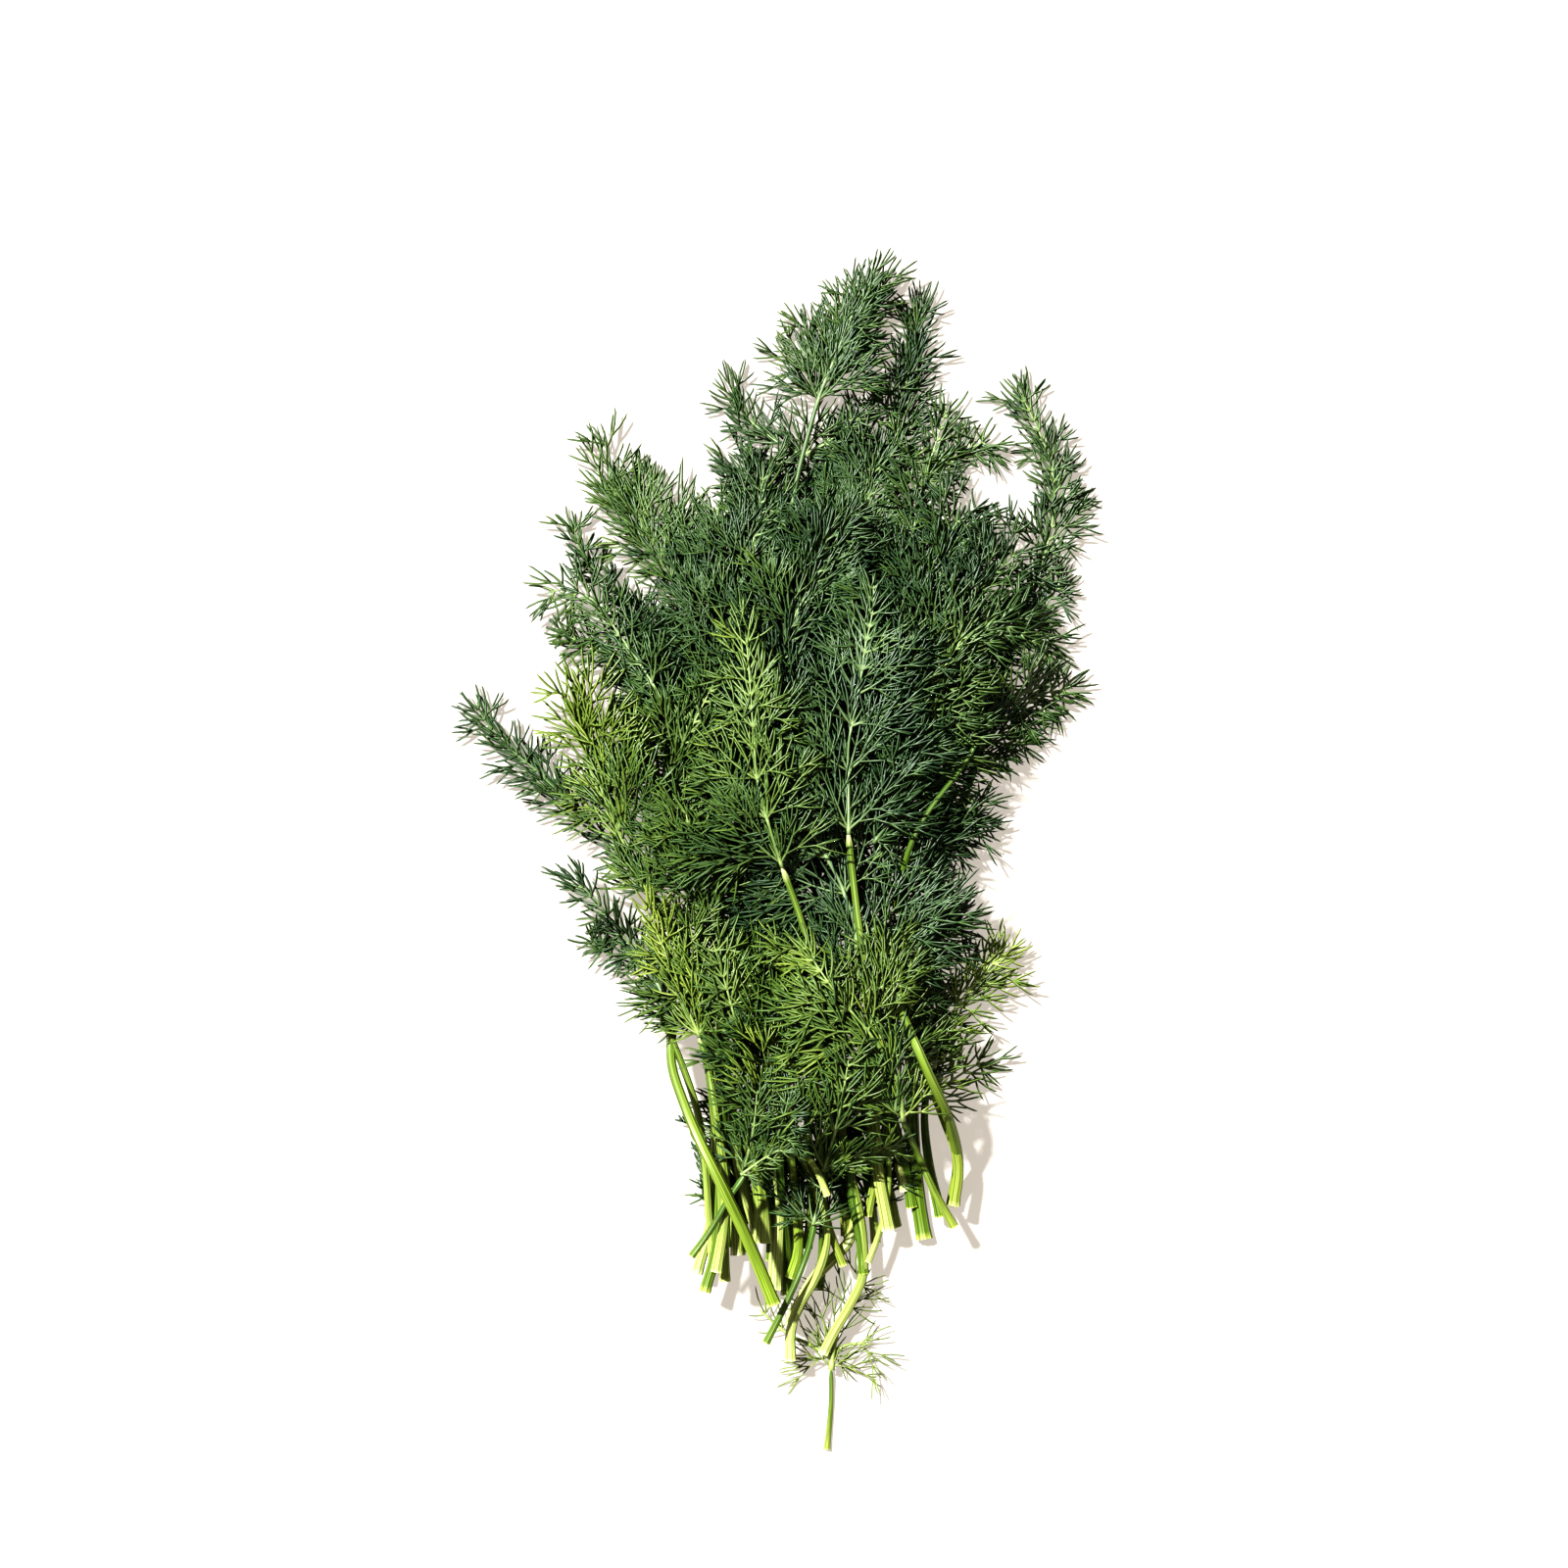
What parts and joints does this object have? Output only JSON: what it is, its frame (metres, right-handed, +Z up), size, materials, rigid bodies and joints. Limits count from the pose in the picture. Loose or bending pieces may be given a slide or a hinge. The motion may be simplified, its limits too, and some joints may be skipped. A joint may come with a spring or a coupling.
{
  "type": "dill bunch",
  "caption": "Loose bunch of fresh dill lying on its side: thin round stems cut across at one end, with feathery thread-leaf fronds that fan out and drape over each other.",
  "frame": {"origin": "on the surface the bunch lies on, under the middle of its outline", "axes": "+Z up from the surface, +Y from the cut ends of the stems towards the tips of the fronds, +X across the bunch to the right when it is seen from above with the tips away from the viewer"},
  "size_m": [0.1562, 0.2935, 0.0332],
  "materials": {
    "pale_stem": "pale yellow-green fresh stem, waxy",
    "green_stem": "green fresh stem, waxy",
    "deep_frond": "deep blue-green leaf threads, matt",
    "mid_frond": "mid-green leaf threads, matt",
    "bright_frond": "yellow-green leaf threads, matt"
  },
  "bodies": {
    "root": {"frond_01": "deep_frond", "frond_02": "deep_frond", "frond_03": "deep_frond", "frond_04": "deep_frond", "frond_05": "mid_frond", "frond_05_low": "deep_frond", "frond_05_side": "deep_frond", "frond_05_top": "deep_frond", "frond_06": "deep_frond", "frond_06_side": "deep_frond", "frond_06_top": "deep_frond", "frond_07": "deep_frond", "frond_08": "deep_frond", "frond_09": "deep_frond", "frond_09_low": "deep_frond", "frond_09_side": "deep_frond", "frond_10": "deep_frond", "frond_11": "bright_frond", "frond_11_side": "bright_frond", "frond_12": "deep_frond", "frond_12_low": "deep_frond", "frond_13": "deep_frond", "frond_14": "deep_frond", "frond_15": "mid_frond", "frond_15_side": "bright_frond", "frond_16": "bright_frond", "frond_16_side": "mid_frond", "frond_17": "bright_frond", "frond_18": "mid_frond", "frond_18_side": "mid_frond", "frond_19": "mid_frond", "frond_19_side": "bright_frond", "frond_20": "mid_frond", "frond_21": "mid_frond", "frond_22": "mid_frond", "frond_23": "mid_frond", "stem_01": "green_stem", "stem_02": "pale_stem", "stem_03": "green_stem", "stem_04": "pale_stem", "stem_05": "pale_stem", "stem_06": "green_stem", "stem_07": "pale_stem", "stem_08": "green_stem", "stem_09": "pale_stem", "stem_10": "pale_stem", "stem_11": "green_stem", "stem_12": "green_stem", "stem_13": "green_stem", "stem_14": "pale_stem", "stem_15": "green_stem", "stem_16": "pale_stem", "stem_17": "green_stem", "stem_18": "green_stem", "stem_19": "green_stem", "stem_20": "green_stem", "stem_21": "green_stem", "stem_22": "green_stem", "stem_23": "green_stem"}
  },
  "joints": []
}
